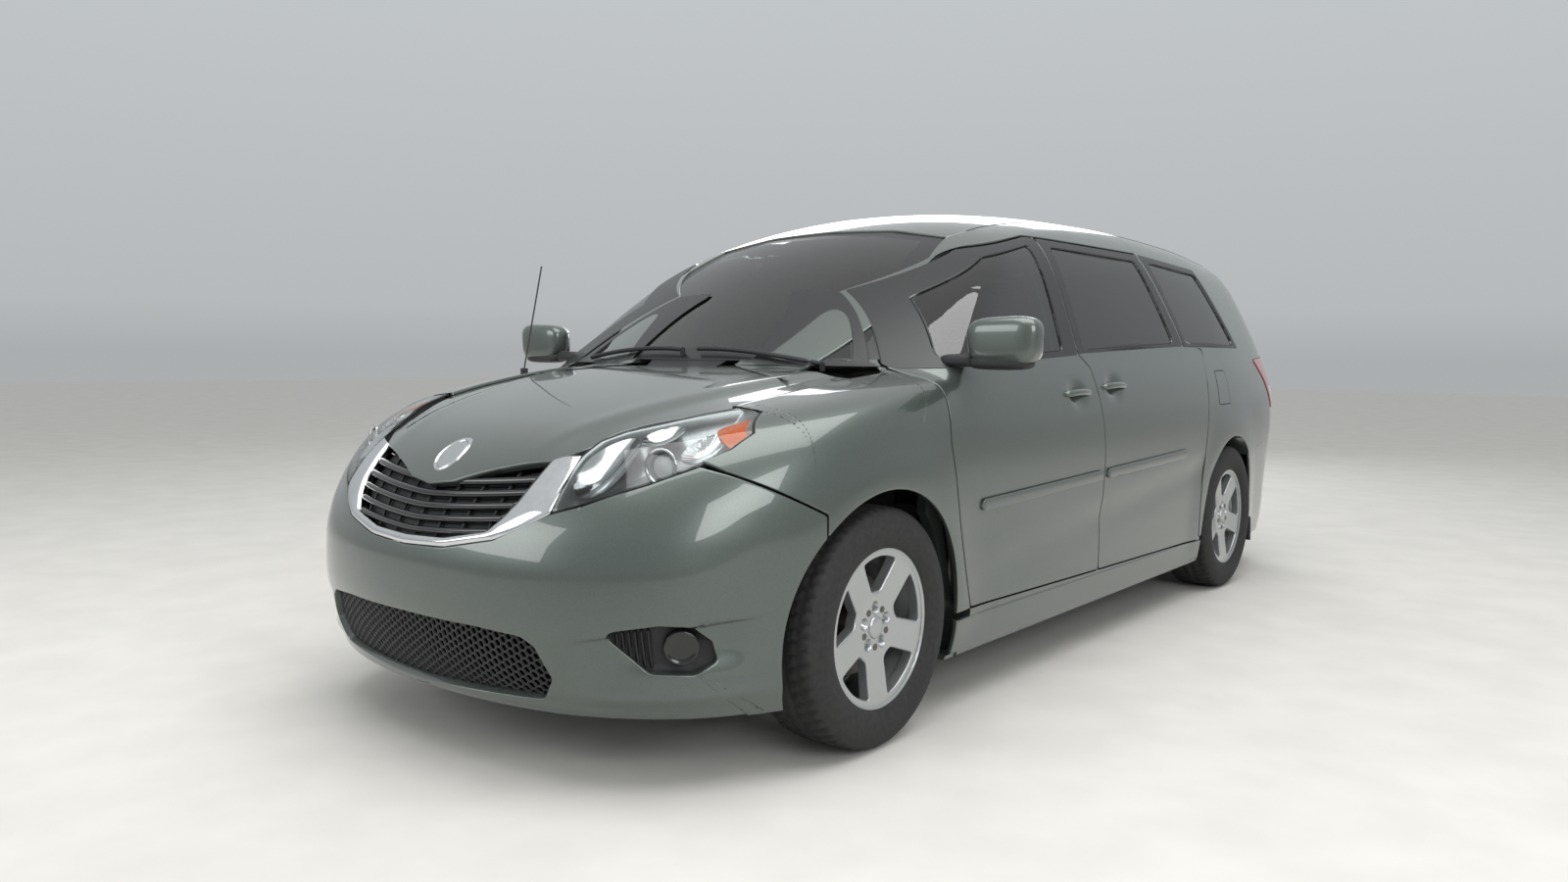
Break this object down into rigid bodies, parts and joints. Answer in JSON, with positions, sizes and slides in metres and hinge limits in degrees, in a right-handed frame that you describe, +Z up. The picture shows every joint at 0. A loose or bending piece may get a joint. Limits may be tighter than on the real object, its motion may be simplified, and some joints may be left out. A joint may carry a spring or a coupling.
{
  "type": "minivan",
  "caption": "Family van with hinged front doors, rear side doors drawn shut, a lifting hood and tailgate, steered front wheels and seats for the cabin.",
  "frame": {"origin": "on the ground, below the middle of the length and the width", "axes": "front faces -Y, the vehicle's left side is +X, +Z up"},
  "size_m": [2.41, 5.0841, 1.7499],
  "materials": {
    "paint": "gloss metallic",
    "chrome": "polished",
    "black_plastic": "satin",
    "glass": "clear",
    "dark_glass": "tinted",
    "lamp_lens": "clear",
    "red_lens": "gloss",
    "lamp_body": "gloss",
    "tyre": "matte",
    "alloy": "painted silver",
    "iron": "machined",
    "steel": "satin",
    "exhaust_steel": "dull",
    "cabin_plastic": "grained",
    "upholstery": "woven"
  },
  "bodies": {
    "vehicle": {"antenna": "black_plastic", "body_sides": "paint", "cowl": "black_plastic", "dashboard": "cabin_plastic", "engine": "iron", "exhaust": "exhaust_steel", "fenders": "paint", "floor_pan": "steel", "fog_bezels": "black_plastic", "front_bumper": "paint", "front_seats": "upholstery", "front_suspension": "steel", "fuel_door": "paint", "fuel_tank": "black_plastic", "grille": "black_plastic", "grille_surround": "chrome", "headlamp_housings": "lamp_body", "headlamp_lenses": "lamp_lens", "hood_hinges": "steel", "lower_grille": "black_plastic", "middle_seats": "upholstery", "radiator": "steel", "rear_bumper": "paint", "rear_seat": "upholstery", "rear_suspension": "steel", "roof": "paint", "side_glass": "dark_glass", "slide_doors": "paint", "tail_lamps": "red_lens", "windshield": "glass", "wipers": "black_plastic"},
    "hood": {"hood": "paint"},
    "liftgate": {"liftgate": "paint", "liftgate_glass": "dark_glass"},
    "door_left": {"front_door_left": "paint", "door_glass_left": "glass", "mirror_left": "paint"},
    "door_right": {"front_door_right": "paint", "door_glass_right": "glass", "mirror_right": "paint"},
    "steering": {"steering_wheel": "cabin_plastic"},
    "knuckle_left": {"knuckle_left": "iron"},
    "knuckle_right": {"knuckle_right": "iron"},
    "wheel_front_left": {"tyre_front_left": "tyre", "rim_front_left": "alloy", "hub_front_left": "iron"},
    "wheel_front_right": {"tyre_front_right": "tyre", "rim_front_right": "alloy", "hub_front_right": "iron"},
    "wheel_rear_left": {"tyre_rear_left": "tyre", "rim_rear_left": "alloy", "hub_rear_left": "iron"},
    "wheel_rear_right": {"tyre_rear_right": "tyre", "rim_rear_right": "alloy", "hub_rear_right": "iron"}
  },
  "joints": [
    {"name": "hood_hinge", "type": "hinge", "parent": "vehicle", "child": "hood", "pos_m": [0, -1.412, 1.044], "axis": [-1, 0, 0], "range_deg": [0, 48]},
    {"name": "liftgate_hinge", "type": "hinge", "parent": "vehicle", "child": "liftgate", "pos_m": [0, 2.25, 1.618], "axis": [1, 0, 0], "range_deg": [0, 82]},
    {"name": "door_hinge_left", "type": "hinge", "parent": "vehicle", "child": "door_left", "pos_m": [0.958, -1.14, 0.66], "axis": [0, 0, -1], "range_deg": [0, 62]},
    {"name": "door_hinge_right", "type": "hinge", "parent": "vehicle", "child": "door_right", "pos_m": [-0.958, -1.14, 0.66], "axis": [0, 0, 1], "range_deg": [0, 62]},
    {"name": "steer_left", "type": "hinge", "parent": "vehicle", "child": "knuckle_left", "pos_m": [0.8, -1.6125, 0.19], "axis": [-0.2457, 0, 0.9693], "range_deg": [-32, 32]},
    {"name": "steer_right", "type": "hinge", "parent": "vehicle", "child": "knuckle_right", "pos_m": [-0.8, -1.6125, 0.19], "axis": [0.2457, 0, 0.9693], "range_deg": [-32, 32]},
    {"name": "steering_wheel_turn", "type": "hinge", "parent": "vehicle", "child": "steering", "pos_m": [0.37, -0.65, 0.95], "axis": [0, 0.9061, 0.423], "range_deg": [-512, 512]},
    {"name": "spin_front_left", "type": "hinge", "parent": "knuckle_left", "child": "wheel_front_left", "pos_m": [0.86, -1.6125, 0.35], "axis": [1, 0, 0], "continuous": true},
    {"name": "spin_front_right", "type": "hinge", "parent": "knuckle_right", "child": "wheel_front_right", "pos_m": [-0.86, -1.6125, 0.35], "axis": [1, 0, 0], "continuous": true},
    {"name": "spin_rear_left", "type": "hinge", "parent": "vehicle", "child": "wheel_rear_left", "pos_m": [0.86, 1.4175, 0.35], "axis": [1, 0, 0], "continuous": true},
    {"name": "spin_rear_right", "type": "hinge", "parent": "vehicle", "child": "wheel_rear_right", "pos_m": [-0.86, 1.4175, 0.35], "axis": [1, 0, 0], "continuous": true}
  ],
  "couplings": [
    {"joint": "steer_right", "follows": "steer_left", "ratio": 1},
    {"joint": "steering_wheel_turn", "follows": "steer_left", "ratio": 16}
  ]
}
